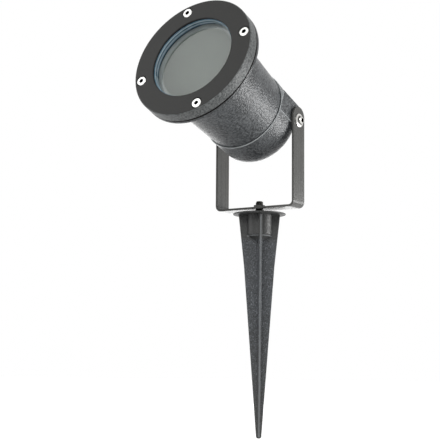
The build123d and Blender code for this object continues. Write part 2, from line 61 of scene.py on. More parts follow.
tilt_axis = Vector((0.0, 0.0, TILT_AXIS_HEIGHT)) * MM
sideways = Vector((1.0, 0.0, 0.0))
upwards = Vector((0.0, math.sin(HEAD_TILT), math.cos(HEAD_TILT)))
forwards = Vector((0.0, -math.cos(HEAD_TILT), math.sin(HEAD_TILT)))
head_base = tilt_axis - upwards * PIVOT_RISE * MM
head_turn = Matrix((sideways, upwards, forwards)).transposed().to_4x4()
head_matrix = Matrix.Translation(head_base) @ head_turn
face_centre = head_matrix @ Vector((0.0, 0.0, FRONT_FACE * MM))
print("front face centre:", [round(v, 4) for v in face_centre])

# %% [markdown]
# ## Camera
#
# The photograph was taken a little from the right and slightly from below, from nearly a metre
# away. The camera is set by its direction, its distance and where the yoke's underside falls in
# the picture, which is 440 pixels square. The film size and the focal length in pixels give the
# lens. This way the view follows from a few measured numbers and not from dragging the camera.

# %% Camera
PICTURE = 440
FOCAL_PIXELS = 1277.1
FILM = 36.0
AZIMUTH, ELEVATION, ROLL = math.radians(33.98), math.radians(-6.82), math.radians(0.42)
DISTANCE, SHIFT_RIGHT, SHIFT_UP = 900.0, -27.78, -7.01
YOKE_UNDERSIDE = 3.6

back = Vector((
    math.sin(AZIMUTH) * math.cos(ELEVATION),
    -math.cos(AZIMUTH) * math.cos(ELEVATION),
    math.sin(ELEVATION),
))
level_right = Vector((math.cos(AZIMUTH), math.sin(AZIMUTH), 0.0))
level_up = back.cross(level_right)
right = math.cos(ROLL) * level_right + math.sin(ROLL) * level_up
up = math.cos(ROLL) * level_up - math.sin(ROLL) * level_right

camera_data = bpy.data.cameras.new("camera")
camera_data.sensor_width = FILM
camera_data.lens = FOCAL_PIXELS / PICTURE * FILM
camera = bpy.data.objects.new("camera", camera_data)
bpy.context.scene.collection.objects.link(camera)
aim = Vector((0.0, 0.0, YOKE_UNDERSIDE))
place = (aim + back * DISTANCE + right * SHIFT_RIGHT + up * SHIFT_UP) * MM
camera.matrix_world = Matrix.Translation(place) @ Matrix((right, up, back)).transposed().to_4x4()
bpy.context.scene.camera = camera
bpy.context.scene.view_settings.view_transform = "Standard"
print("camera at", [round(v, 3) for v in place], "lens", round(camera_data.lens, 1))

# %% [markdown]
# ## How a finish is written
#
# Every finish below is a small tree of nodes. Makers quote colours as hex values, which are
# written for screens, so one function turns them into the linear numbers the renderer works in.

# %% Colours
def colour(hex_text):
    """An sRGB hex colour as linear red, green, blue and alpha."""
    parts = [int(hex_text[i:i + 2], 16) / 255 for i in (1, 3, 5)]
    return tuple(c / 12.92 if c <= 0.04045 else ((c + 0.055) / 1.055) ** 2.4 for c in parts) + (1.0,)


print("middle grey #808080 is", round(colour("#808080")[0], 3), "in linear light")

# %% [markdown]
# One helper adds a node of any kind. Its inputs come by name, or in their order where that reads
# better. In order, a Map Range takes a value, the two ends it comes between and the two numbers
# that those ends become. A Mix of two colours keeps its factor in input 0 and its colours in
# inputs 6 and 7. A Math node takes the numbers it works on.

# %% Adding and filling nodes
def fill(tree, node, inputs):
    """Fills inputs by name from a dict, or in order from a tuple: values, sockets or nodes."""
    named = inputs if isinstance(inputs, dict) else dict(enumerate(inputs))
    for name, value in named.items():
        if isinstance(value, bpy.types.Node):
            value = next(output for output in value.outputs if output.enabled)
        if isinstance(value, bpy.types.NodeSocket):
            tree.links.new(value, node.inputs[name])
        else:
            node.inputs[name].default_value = value


def add(tree, kind, inputs=(), **settings):
    """Adds a node with its settings, and fills its inputs."""
    node = tree.nodes.new(kind)
    for name, value in settings.items():
        setattr(node, name, value)
    fill(tree, node, inputs)
    return node


def new_material(name):
    """An empty material: its tree, its surface shader and the piece's own coordinates."""
    material = bpy.data.materials.new(name)
    material.use_nodes = True
    tree = material.node_tree
    tree.nodes.clear()
    shader = add(tree, "ShaderNodeBsdfPrincipled")
    add(tree, "ShaderNodeOutputMaterial", {"Surface": shader})
    where = add(tree, "ShaderNodeTexCoord").outputs["Object"]
    return material, tree, shader, where


print("node helpers are ready")

# %% [markdown]
# Patterns are sized by the real grain in millimetres. A noise mostly stays within `NOISE_SPAN`,
# and a Map Range from the narrower `PATCH_SPAN` turns it into harder patches. Marks that belong
# to an edge or a face are found by measuring: `head_place` gives a point's place on the head,
# `band` marks a stretch of any measure, and `overlap` keeps what lies in several bands at once.

# %% Measuring on a piece
NOISE_SPAN = (0.3, 0.7)
PATCH_SPAN = (0.36, 0.64)


def per_metre(size_in_mm):
    """Noise scale whose features are about this many millimetres across."""
    return 1000.0 / size_in_mm


def head_place(tree, where):
    """Where a point is on the head, in mm: up, forwards, and off the head's middle line."""
    on_head = add(tree, "ShaderNodeMapping", {
        "Vector": where, "Location": head_base, "Rotation": head_turn.to_euler(),
        "Scale": (MM, MM, MM)}, vector_type="TEXTURE")
    parts = add(tree, "ShaderNodeSeparateXYZ", (on_head,)).outputs
    flat = add(tree, "ShaderNodeVectorMath", (on_head, (1.0, 1.0, 0.0)), operation="MULTIPLY")
    off_line = add(tree, "ShaderNodeVectorMath", (flat,), operation="LENGTH")
    return {"up": parts["Y"], "forwards": parts["Z"], "off line": off_line}


def band(tree, value, low, high, soft=0.1):
    """One where a value lies between two limits, fading to nought over a short way outside."""
    rise = add(tree, "ShaderNodeMapRange", (value, low - soft, low, 0.0, 1.0))
    fall = add(tree, "ShaderNodeMapRange", (value, high, high + soft, 1.0, 0.0))
    return overlap(tree, rise, fall)


def overlap(tree, first, *others):
    """One where every given mark is one."""
    for other in others:
        first = add(tree, "ShaderNodeMath", (first, other), operation="MULTIPLY")
    return first


print("measures on the head start at", [round(v / MM, 2) for v in head_base], "mm")

# %% [markdown]
# ## Powder coat on the casting
#
# The head is die-cast aluminium with a baked polyester powder coat of the textured kind. While
# it melts it draws up into small soft bumps about a millimetre apart, so light breaks up into
# a mottled sheen. The bumps, a finer grit on top and a slight change of grey are all noise of
# real sizes. A pale line is painted along the sharp edges as a highlight, and the joint under
# the bezel is painted near black as shade.

# %% Where the edges get a painted highlight
SHOULDER = 22.5
SHOULDER_CHAMFER = 0.4
LUG_LOWER_EDGE = -3.0
LUG_FACE = 30.4
BEYOND_LUG = 2.0
EDGE_SOFTNESS = 0.05


def painted_edge_highlights(tree, place):
    """One along the casting's sharp edges, where a pale highlight is painted: round the shoulder and
    under the lugs.
    """
    chamfer = SHOULDER - SHOULDER_CHAMFER
    shoulder = overlap(
        tree,
        band(tree, place["forwards"], chamfer - 0.05, SHOULDER + 0.05, EDGE_SOFTNESS),
        band(tree, place["off line"], LUG_FACE - 0.35, LUG_FACE + BEYOND_LUG))
    lug = overlap(
        tree,
        band(tree, place["up"], LUG_LOWER_EDGE - 0.1, LUG_LOWER_EDGE + 0.3, EDGE_SOFTNESS),
        band(tree, place["forwards"], 0.0, chamfer, 0.3),
        band(tree, place["off line"], LUG_FACE - 0.6, LUG_FACE + BEYOND_LUG))
    return add(tree, "ShaderNodeMath", (shoulder, lug), operation="MAXIMUM")


# The pale lines along these edges are a painted highlight.
print("the coat is thin", SHOULDER, "mm forwards and", LUG_LOWER_EDGE, "mm up")

# %% Textured powder coat
FLANGE_FRONT = 81.8
JOINT_SHADE, JOINT_SOFTNESS = 0.35, 0.1
BUMP_SIZE, BUMP_DEPTH = 1.5, 0.40
GRIT_SIZE, GRIT_DEPTH = BUMP_SIZE / 2.6, BUMP_DEPTH * 0.35
CLOUD_SIZE = 22.0
BUMP_DETAIL = 1.5
BUMP_SHARE, CLOUD_SHARE = 0.75, 0.25


def textured_powder_coat():
    """Dark grey and mottled, with a broken satin sheen, a painted highlight along sharp edges and
    painted shade in the joint.
    """
    material, tree, shader, where = new_material("textured_powder_coat")
    place = head_place(tree, where)
    bumps = add(tree, "ShaderNodeTexNoise", {
        "Vector": where, "Scale": per_metre(BUMP_SIZE), "Detail": BUMP_DETAIL})
    grit = add(tree, "ShaderNodeTexNoise", {"Vector": where, "Scale": per_metre(GRIT_SIZE)})
    cloud = add(tree, "ShaderNodeTexNoise", {"Vector": where, "Scale": per_metre(CLOUD_SIZE)})
    mottle = add(tree, "ShaderNodeMath", (cloud, CLOUD_SHARE), operation="MULTIPLY")
    blend = add(tree, "ShaderNodeMath", (bumps, BUMP_SHARE, mottle), operation="MULTIPLY_ADD")
    paler = add(tree, "ShaderNodeMapRange", (blend, *PATCH_SPAN, 0.0, 1.0))
    full = add(tree, "ShaderNodeMix", {
        0: paler, 6: colour("#26282A"), 7: colour("#585B5D")}, data_type="RGBA")
    # Painted highlight: the sharp edges are mixed towards a pale grey.
    edges = overlap(tree, painted_edge_highlights(tree, place), 0.85)
    coated = add(tree, "ShaderNodeMix", {0: edges, 6: full, 7: colour("#B4B8B9")}, data_type="RGBA")
    # Painted shade: the joint under the bezel is painted near black.
    shade_start = FLANGE_FRONT - JOINT_SHADE
    joint = add(tree, "ShaderNodeMapRange", (
        place["forwards"], shade_start, shade_start + JOINT_SOFTNESS, 0.0, 1.0))
    soft = add(tree, "ShaderNodeBump", {"Height": bumps, "Distance": BUMP_DEPTH * MM})
    fill(tree, shader, {
        "Base Color": add(tree, "ShaderNodeMix", {
            0: joint, 6: coated, 7: colour("#050505")}, data_type="RGBA"),
        "Roughness": add(tree, "ShaderNodeMapRange", (grit, *NOISE_SPAN, 0.25, 0.38)),
        "Specular IOR Level": 0.27,
        "Normal": add(tree, "ShaderNodeBump", {
            "Height": grit, "Distance": GRIT_DEPTH * MM, "Normal": soft})})
    return material


textured_coat = textured_powder_coat()
print("made", textured_coat.name)

# %% [markdown]
# ## Bezel
#
# The bezel ring is coated too, but its flat front is smoother and darker than its rim, because
# the powder flows out level on the broad face. Two materials on two groups of faces would do as
# well. One material that measures is shorter: where the surface lies within a few tenths of a
# millimetre of the front, the smooth coat shows. The opening and the joint at the back are
# painted near black as shade.

# %% Bezel coat
OPENING_RADIUS = 30.35
BEZEL_BACK = 82.6
FACE_COAT = (0.35, 0.15)
OPENING_SHADE = (0.40, 0.50)
RIM_BUMP_SIZE, RIM_BUMP_DEPTH = 1.1, 0.35
FINE_SIZE = 0.7
FACE_CALM = 0.9


def bezel_powder_coat():
    """Smooth and nearly black on the front face, grainier and paler on the rim, painted near black as
    shade in the opening and the joint.
    """
    material, tree, shader, where = new_material("bezel_powder_coat")
    place = head_place(tree, where)
    face = add(tree, "ShaderNodeMapRange", (
        place["forwards"], *[FRONT_FACE - under for under in FACE_COAT], 0.0, 1.0))
    inside = add(tree, "ShaderNodeMapRange", (
        place["off line"], *[OPENING_RADIUS + beyond for beyond in OPENING_SHADE], 1.0, 0.0))
    shade_end = BEZEL_BACK + JOINT_SHADE
    joint = add(tree, "ShaderNodeMapRange", (
        place["forwards"], shade_end - JOINT_SOFTNESS, shade_end, 1.0, 0.0))
    shaded = add(tree, "ShaderNodeMath", (inside, joint), operation="MAXIMUM")
    bumps = add(tree, "ShaderNodeTexNoise", {
        "Vector": where, "Scale": per_metre(RIM_BUMP_SIZE), "Detail": BUMP_DETAIL})
    fine = add(tree, "ShaderNodeTexNoise", {"Vector": where, "Scale": per_metre(FINE_SIZE)})
    rim_paler = add(tree, "ShaderNodeMapRange", (bumps, *PATCH_SPAN, 0.0, 1.0))
    face_paler = add(tree, "ShaderNodeMapRange", (fine, *NOISE_SPAN, 0.0, 1.0))
    rim_grey = add(tree, "ShaderNodeMix", {
        0: rim_paler, 6: colour("#3E4040"), 7: colour("#6C6F6F")}, data_type="RGBA")
    face_grey = add(tree, "ShaderNodeMix", {
        0: face_paler, 6: colour("#1C1C1B"), 7: colour("#252524")}, data_type="RGBA")
    lit = add(tree, "ShaderNodeMix", {0: face, 6: rim_grey, 7: face_grey}, data_type="RGBA")
    calm = add(tree, "ShaderNodeMath", (1.0, overlap(tree, face, FACE_CALM)), operation="SUBTRACT")
    fill(tree, shader, {
        "Base Color": add(tree, "ShaderNodeMix", {
            0: shaded, 6: lit, 7: colour("#030303")}, data_type="RGBA"),
        "Roughness": add(tree, "ShaderNodeMapRange", (fine, *NOISE_SPAN, 0.36, 0.48)),
        "Specular IOR Level": 0.24,
        "Normal": add(tree, "ShaderNodeBump", {
            "Height": overlap(tree, bumps, calm), "Distance": RIM_BUMP_DEPTH * MM})})
    return material


bezel_coat = bezel_powder_coat()
print("made", bezel_coat.name)

# %% [markdown]
# ## Steel strip of the yoke
#
# The yoke is bent from mild steel strip. Its coat is thin and smooth, so the rolling marks of
# the strip still show faintly along its length. Lines drawn one by one would look ruled, so a
# noise is stretched fifty times along the arms. Real marks are a tenth of this width. They are
# drawn this coarse because finer ones wouldn't show in the picture.

# %% Smooth coat on rolled steel
MARK_SIZE, MARK_STRETCH = 1.7, 50.0
STRIP_CLOUD_SIZE = 18.0
STRIP_RELIEF = 0.02
MARK_SHARE, STRIP_CLOUD_SHARE = 0.7, 0.3


def satin_coat_on_strip():
    """Plain dark grey with a satin gloss and faint upright streaks."""
    material, tree, shader, where = new_material("satin_coat_on_rolled_steel")
    stretched = add(tree, "ShaderNodeMapping", {
        "Vector": where, "Scale": (1.0, 1.0, 1.0 / MARK_STRETCH)})
    marks = add(tree, "ShaderNodeTexNoise", {"Vector": stretched, "Scale": per_metre(MARK_SIZE)})
    fine = add(tree, "ShaderNodeTexNoise", {"Vector": where, "Scale": per_metre(FINE_SIZE)})
    cloud = add(tree, "ShaderNodeTexNoise", {"Vector": where, "Scale": per_metre(STRIP_CLOUD_SIZE)})
    mottle = add(tree, "ShaderNodeMath", (cloud, STRIP_CLOUD_SHARE), operation="MULTIPLY")
    blend = add(tree, "ShaderNodeMath", (marks, MARK_SHARE, mottle), operation="MULTIPLY_ADD")
    paler = add(tree, "ShaderNodeMapRange", (blend, *NOISE_SPAN, 0.0, 1.0))
    fill(tree, shader, {
        "Base Color": add(tree, "ShaderNodeMix", {
            0: paler, 6: colour("#3C3C3A"), 7: colour("#50504E")}, data_type="RGBA"),
        "Roughness": add(tree, "ShaderNodeMapRange", (fine, *NOISE_SPAN, 0.20, 0.30)),
        "Specular IOR Level": 0.25,
        "Normal": add(tree, "ShaderNodeBump", {"Height": fine, "Distance": STRIP_RELIEF * MM})})
    return material


strip_coat = satin_coat_on_strip()
print("made", strip_coat.name)

# %% [markdown]
# ## Moulded spike
#
# The spike is glass-filled nylon from a spark-eroded mould. That leaves an even, slightly
# sparkling grain about a millimetre across, with paler specks where the fibre lies near the
# surface. Round the stud's socket the grey is darker, and towards the tip it turns a little
# brown. A pale line is painted along the crowns of the fins and the socket's rim as a
# highlight. All of these are found by their height and by their distance from the spike's
# axis, so the whole spike keeps one material.

# %% The crowns of the fins
SPIKE_TIP = -155.3
FLANGE_UNDERSIDE = -1.3
FIN_OUTLINE = ((0.0, 14.6), (-36.0, 10.7), (SPIKE_TIP, 1.75))
FIN_TURN = math.radians(36.5)
HIGHLIGHT_DEPTH, HIGHLIGHT_WIDTH = 0.3, 0.9
fin_directions = (
    (math.sin(FIN_TURN), -math.cos(FIN_TURN), 0.0),
    (math.cos(FIN_TURN), math.sin(FIN_TURN), 0.0))


def fin_crowns(tree, flat, height, off_axis):
    """One along the middle of each fin's outer edge, which narrows in two straight lines."""
    (top, widest), (waist, middle), (tip, narrow) = FIN_OUTLINE
    upper = add(tree, "ShaderNodeMapRange", (height, waist, top, middle, widest))
    lower = add(tree, "ShaderNodeMapRange", (height, tip, waist, narrow, middle))
    below_waist = add(tree, "ShaderNodeMath", (lower, middle), operation="SUBTRACT")
    outline = add(tree, "ShaderNodeMath", (upper, below_waist), operation="ADD")
    past = add(tree, "ShaderNodeMath", (off_axis, outline), operation="SUBTRACT")
    off_planes = []
    for direction in fin_directions:
        along = add(tree, "ShaderNodeVectorMath", (flat, direction), operation="DOT_PRODUCT")
        off_planes.append(add(tree, "ShaderNodeMath", (along,), operation="ABSOLUTE"))
    off_crown = add(tree, "ShaderNodeMath", tuple(off_planes), operation="MINIMUM")
    half = HIGHLIGHT_WIDTH / 2
    return overlap(
        tree,
        add(tree, "ShaderNodeMapRange", (off_crown, half - 0.1, half + 0.1, 1.0, 0.0)),
        add(tree, "ShaderNodeMapRange", (past, -HIGHLIGHT_DEPTH, -HIGHLIGHT_DEPTH / 2, 0.0, 1.0)),
        add(tree, "ShaderNodeMapRange", (height, FLANGE_UNDERSIDE, FLANGE_UNDERSIDE + 0.2, 1.0, 0.0)))


print("the fins run from", FLANGE_UNDERSIDE, "to", SPIKE_TIP, "mm")

# %% The spike's changes of tone
SOCKET_EDGE, SOCKET_WALL = -15.2, 8.6
SOCKET_TONE, BROWNED_TONE, HIGHLIGHT_TONE = "#2E2E2C", "#3C3B37", "#7E8183"
BROWNED_LENGTH = 90.0


def spike_tones_and_highlights(tree, where, tone):
    """Darker round the socket, browner at the tip, and a painted highlight along the crowns and the
    rim.
    """
    in_mm = (1.0 / MM, 1.0 / MM, 0.0)
    flat = add(tree, "ShaderNodeVectorMath", (where, in_mm), operation="MULTIPLY")
    off_axis = add(tree, "ShaderNodeVectorMath", (flat,), operation="LENGTH")
    height = add(tree, "ShaderNodeVectorMath", (where, (0.0, 0.0, 1.0 / MM)), operation="DOT_PRODUCT")
    rim = overlap(
        tree,
        band(tree, height, SOCKET_EDGE - 0.1, SOCKET_EDGE + 0.6),
        band(tree, off_axis, SOCKET_WALL - 1.2, SOCKET_WALL + 0.2))
    painted_highlight = add(tree, "ShaderNodeMath", (
        fin_crowns(tree, flat, height, off_axis), rim), operation="MAXIMUM")
    # A darker, even grey from just below the socket up to the flange.
    darker_round_socket = add(tree, "ShaderNodeMapRange", (height, SOCKET_EDGE - 4.0, SOCKET_EDGE - 1.0, 0.0, 0.8))
    browned = add(tree, "ShaderNodeMapRange", (height, SPIKE_TIP, SPIKE_TIP + BROWNED_LENGTH, 0.6, 0.0))
    # Painted highlight: a pale line along the crowns of the fins and the socket's rim.
    pale = overlap(tree, painted_highlight, 0.65)
    for mark, hex_text in ((darker_round_socket, SOCKET_TONE), (browned, BROWNED_TONE), (pale, HIGHLIGHT_TONE)):
        tone = add(tree, "ShaderNodeMix", {0: mark, 6: tone, 7: colour(hex_text)}, data_type="RGBA")
    return tone


print("the socket among the fins ends at", SOCKET_EDGE, "mm")

# %% Grained nylon
def grained_nylon(name, dark, light, speck, grain_size, grain_depth, roughness, extra_tones=None):
    """A moulded plastic with an eroded grain, a dull gloss and pale specks."""
    material, tree, shader, where = new_material(name)
    pits = add(tree, "ShaderNodeTexNoise", {
        "Vector": where, "Scale": per_metre(grain_size), "Detail": 2.0, "Roughness": 0.6})
    specks = add(tree, "ShaderNodeTexNoise", {
        "Vector": where, "Scale": per_metre(grain_size * 0.55), "Detail": 1.0})
    paler = add(tree, "ShaderNodeMapRange", (pits, *NOISE_SPAN, 0.0, 1.0))
    bright = add(tree, "ShaderNodeMapRange", (specks, 0.54, 0.70, 0.0, 1.0))
    base = add(tree, "ShaderNodeMix", {0: paler, 6: colour(dark), 7: colour(light)}, data_type="RGBA")
    tone = add(tree, "ShaderNodeMix", {0: bright, 6: base, 7: colour(speck)}, data_type="RGBA")
    fill(tree, shader, {
        "Base Color": extra_tones(tree, where, tone) if extra_tones else tone,
        "Roughness": add(tree, "ShaderNodeMapRange", (
            pits, *NOISE_SPAN, roughness - 0.05, roughness + 0.10)),
        "Specular IOR Level": 0.36,
        "Normal": add(tree, "ShaderNodeBump", {"Height": pits, "Distance": grain_depth * MM})})
    return material


# Charcoal with a coarse dull grain.
spike_finish = grained_nylon(
    "glass_filled_nylon", "#1D1F21", "#46494C", "#6A6E73", 1.3, 0.34, 0.44, extra_tones=spike_tones_and_highlights)
# Near black and finely matt, as the cord gland is.
black_polyamide = grained_nylon("black_polyamide", "#101010", "#181818", "#222222", 0.5, 0.03, 0.45)
print("made", spike_finish.name, "and", black_polyamide.name)

# %% [markdown]
# ## Bare metals
#
# The screws are cold-headed stainless steel, left bright. Metals differ in colour and in how
# smooth they are, so one function makes them all. The screws' hexagon sockets are deep and lie
# in shade. Lamps alone leave them too bright here, because the world is white wherever metal
# mirrors it, so they are darkened with painted shade by where they lie. A dark ring painted on
# each pivot screw's head stands in for a reflection.

# %% Where the screws are in shade
BEZEL_SCREW_TOP = 90.4
BEZEL_SHADE = (0.40, 0.30)
PIVOT_SCREW_TOP = 35.1
PIVOT_SHADE = (0.35, 0.15)
SOCKET_RADIUS = 1.8
REFLECTION_RING = (2.5, 3.3)


def bezel_socket(tree, where):
    """The shade in the hexagon sockets of the bezel screws and down their sides."""
    depth = head_place(tree, where)["forwards"]
    return add(tree, "ShaderNodeMapRange", (
        depth, *[BEZEL_SCREW_TOP - under for under in BEZEL_SHADE], 1.0, 0.0))


def pivot_socket(tree, where):
    """The painted shade in the hexagon sockets of the pivot screws, and a dark ring round them painted
    as a reflection.
    """
    offset = add(tree, "ShaderNodeVectorMath", (where, tilt_axis), operation="SUBTRACT")
    flat = add(tree, "ShaderNodeVectorMath", (offset, (0.0, 1.0 / MM, 1.0 / MM)), operation="MULTIPLY")
    off_axis = add(tree, "ShaderNodeVectorMath", (flat,), operation="LENGTH")
    side = add(tree, "ShaderNodeVectorMath", (offset, (1.0 / MM, 0.0, 0.0)), operation="DOT_PRODUCT")
    out = add(tree, "ShaderNodeMath", (side,), operation="ABSOLUTE")
    sunk = add(tree, "ShaderNodeMapRange", (
        out, *[PIVOT_SCREW_TOP - under for under in PIVOT_SHADE], 1.0, 0.0))
    near = add(tree, "ShaderNodeMapRange", (off_axis, SOCKET_RADIUS, SOCKET_RADIUS + 0.1, 1.0, 0.0))
    # Painted reflection: a dark ring on the dome of each pivot screw.
    ring = overlap(tree, band(tree, off_axis, *REFLECTION_RING, soft=0.2), 0.85)
    return add(tree, "ShaderNodeMath", (overlap(tree, sunk, near), ring), operation="MAXIMUM")


print("screw heads end at", BEZEL_SCREW_TOP, "mm forwards and", PIVOT_SCREW_TOP, "mm aside")

# %% Metals
TOOL_MARK_SIZE, TOOL_MARK_DEPTH = 0.4, 0.01
TARNISH_SIZE = 6.0


def metal(name, dark, light, roughness, shade=None):
    """A bare metal: two close tones, fine tool marks, and painted shade where a shade mask is given."""
    material, tree, shader, where = new_material(name)
    marks = add(tree, "ShaderNodeTexNoise", {
        "Vector": where, "Scale": per_metre(TOOL_MARK_SIZE), "Detail": 3.0})
    cloud = add(tree, "ShaderNodeTexNoise", {"Vector": where, "Scale": per_metre(TARNISH_SIZE)})
    paler = add(tree, "ShaderNodeMapRange", (cloud, *NOISE_SPAN, 0.0, 1.0))
    tone = add(tree, "ShaderNodeMix", {0: paler, 6: colour(dark), 7: colour(light)}, data_type="RGBA")
    if shade:
        tone = add(tree, "ShaderNodeMix", {
            0: shade(tree, where), 6: tone, 7: colour("#060606")}, data_type="RGBA")
    fill(tree, shader, {
        "Base Color": tone, "Metallic": 1.0,
        "Roughness": add(tree, "ShaderNodeMapRange", (
            marks, *NOISE_SPAN, roughness - 0.05, roughness + 0.07)),
        "Normal": add(tree, "ShaderNodeBump", {"Height": marks, "Distance": TOOL_MARK_DEPTH * MM})})
    return material


# Cold-headed and bright, nearly white where it mirrors the room.
bezel_screw_steel = metal("bright_stainless_bezel_screw", "#D8D8D5", "#F0F0EE", 0.18, bezel_socket)
# The same steel with a smoother, slightly darker face.
pivot_screw_steel = metal("bright_stainless_pivot_screw", "#C9C8C4", "#E2E1DD", 0.12, pivot_socket)
# Electroplated: duller and a little yellow.
zinc = metal("zinc_plated_steel", "#A9A8A0", "#C3C2B8", 0.34)
# Turned on a lathe: warm yellow with a soft gloss.
brass = metal("machined_brass", "#B8933F", "#D4B059", 0.26)
# Zinc under a black chromate: nearly black with a dull metal gloss.
black_zinc = metal("black_chromated_steel", "#32322F", "#4C4B47", 0.34)
# Plated over brass: pale, warm and smooth.
nickel = metal("nickel_plated_pin", "#BDB9AE", "#D3CFC4", 0.22)
# Deposited as vapour on the lamp's glass: a clean mirror.
mirror_coat = metal("vapour_deposited_aluminium", "#D2D3D3", "#E6E7E7", 0.12)
print("made seven metals")

# %% [markdown]
# ## Glass
#
# The front is a 4 mm disc of toughened float glass, acid etched on its inner side. The outside
# stays clear and shiny, and the lamp is hidden behind the etched back, which scatters light
# like fine ground glass. In the glass material the etched side is found by its depth, and the
# plain border that grips the seal by its distance from the middle. The border is painted paler,
# as painted light against the shade that the seal casts on it.

# %% Etched float glass
GLASS_IOR = 1.5
GLASS_BACK = 80.6
ETCH_REACH = (0.10, 0.20)
ETCHED_RADIUS, ETCHED_RIM = 27.3, 0.7
BORDER_SOFTNESS = 0.15
ETCH_GRIT_SIZE, GLASS_CLOUD_SIZE = 0.8, 30.0


def etched_float_glass():
    """A clear glossy front over a matt grey-green back with a brighter line inside its border, and a
    border painted paler against the seal's shade.
    """
    material, tree, clear, where = new_material("etched_float_glass")
    fill(tree, clear, {
        "Base Color": colour("#F4F8F5"), "Roughness": 0.03,
        "Transmission Weight": 1.0, "IOR": GLASS_IOR})
    place = head_place(tree, where)
    grit = add(tree, "ShaderNodeTexNoise", {"Vector": where, "Scale": per_metre(ETCH_GRIT_SIZE)})
    cloud = add(tree, "ShaderNodeTexNoise", {
        "Vector": where, "Scale": per_metre(GLASS_CLOUD_SIZE), "Detail": 1.0})
    paler = add(tree, "ShaderNodeMapRange", (cloud, *NOISE_SPAN, 0.0, 1.0))
    border_start = ETCHED_RADIUS + ETCHED_RIM
    border = add(tree, "ShaderNodeMapRange", (
        place["off line"], border_start - BORDER_SOFTNESS, border_start + BORDER_SOFTNESS, 0.0, 1.0))
    rim = add(tree, "ShaderNodeMapRange", (
        place["off line"], ETCHED_RADIUS - 0.25, ETCHED_RADIUS + 0.05, 0.0, 1.0))
    etch = add(tree, "ShaderNodeMix", {
        0: paler, 6: colour("#656C67"), 7: colour("#6E7570")}, data_type="RGBA")
    etch = add(tree, "ShaderNodeMix", {0: rim, 6: etch, 7: colour("#8A908E")}, data_type="RGBA")
    # Painted light: the plain border is paler to make up for the shade the seal casts on it.
    plain = add(tree, "ShaderNodeMix", {
        0: paler, 6: colour("#A2A8AA"), 7: colour("#ACB2B4")}, data_type="RGBA")
    etched = add(tree, "ShaderNodeBsdfPrincipled", {
        "Base Color": add(tree, "ShaderNodeMix", {0: border, 6: etch, 7: plain}, data_type="RGBA"),
        "Roughness": add(tree, "ShaderNodeMapRange", (grit, *NOISE_SPAN, 0.50, 0.66)),
        "Transmission Weight": 0.15, "IOR": GLASS_IOR})
    in_front = add(tree, "ShaderNodeMapRange", (
        place["forwards"], *[GLASS_BACK + over for over in ETCH_REACH], 0.0, 1.0))
    both = add(tree, "ShaderNodeMixShader", (in_front, etched, clear))
    fill(tree, tree.nodes["Material Output"], {"Surface": both})
    return material


etched_glass = etched_float_glass()
print("made", etched_glass.name)

# %% Pressed glass of the lamp
RIPPLE_SIZE, RIPPLE_DEPTH = 3.0, 0.15


def pressed_lamp_glass():
    """Clear glass with the soft ripple that a press leaves."""
    material, tree, shader, where = new_material("pressed_lamp_glass")
    ripple = add(tree, "ShaderNodeTexNoise", {
        "Vector": where, "Scale": per_metre(RIPPLE_SIZE), "Detail": 1.0})
    fill(tree, shader, {
        "Base Color": colour("#F4F4F0"), "Transmission Weight": 1.0, "IOR": GLASS_IOR,
        "Roughness": add(tree, "ShaderNodeMapRange", (ripple, *NOISE_SPAN, 0.04, 0.10)),
        "Normal": add(tree, "ShaderNodeBump", {"Height": ripple, "Distance": RIPPLE_DEPTH * MM})})
    return material


lamp_glass = pressed_lamp_glass()
print("made", lamp_glass.name)

# %% [markdown]
# ## Rubber, ceramic, nylon and wire
#
# The gaskets are black rubber. The lampholder is glazed steatite, the terminal block is natural
# nylon, and the leads have silicone insulation. They are all moulded or fired, so they share one
# function that gives two close tones, a fine relief and a glaze where there is one.

# %% Moulded and glazed materials
FINE_GRAIN, FINE_RELIEF, TONE_SIZE = 0.8, 0.02, 4.8


def moulded(name, dark, light, roughness, glaze=0.0, gloss=0.5):
    """A moulded surface: two close tones, a little relief, and a glaze if wanted."""
    material, tree, shader, where = new_material(name)
    cloud = add(tree, "ShaderNodeTexNoise", {"Vector": where, "Scale": per_metre(TONE_SIZE)})
    fine = add(tree, "ShaderNodeTexNoise", {"Vector": where, "Scale": per_metre(FINE_GRAIN)})
    paler = add(tree, "ShaderNodeMapRange", (cloud, *NOISE_SPAN, 0.0, 1.0))
    fill(tree, shader, {
        "Base Color": add(tree, "ShaderNodeMix", {
            0: paler, 6: colour(dark), 7: colour(light)}, data_type="RGBA"),
        "Roughness": add(tree, "ShaderNodeMapRange", (
            fine, *NOISE_SPAN, roughness - 0.04, roughness + 0.06)),
        "Normal": add(tree, "ShaderNodeBump", {"Height": fine, "Distance": FINE_RELIEF * MM}),
        "Coat Weight": glaze, "Specular IOR Level": gloss})
    return material


# Soft black with a dull skin.
black_rubber = moulded("black_silicone_rubber", "#0E0E0E", "#191919", 0.55)
# Black foam rubber, nearly pure black: partly its own colour and partly painted shade for the gap it
# sits in.
foam_rubber = moulded("black_foam_rubber", "#020202", "#050505", 0.8, gloss=0.1)
# Off-white ceramic under a clear glaze.
steatite = moulded("glazed_steatite", "#D9D5CB", "#E9E6DD", 0.30, glaze=0.6)
# Milky and waxy.
natural_nylon = moulded("natural_nylon", "#DAD8CF", "#E8E6DF", 0.42)
# Silicone insulation has a soft sheen.
brown_silicone = moulded("brown_silicone_insulation", "#4A2A18", "#5C3620", 0.42)
blue_silicone = moulded("blue_silicone_insulation", "#1F4A8C", "#2A5AA2", 0.42)
# Pressed from cloth and resin: dark and dry.
hard_fibre = moulded("vulcanised_fibre", "#1C1C1C", "#292827", 0.62)
print("made seven moulded materials")

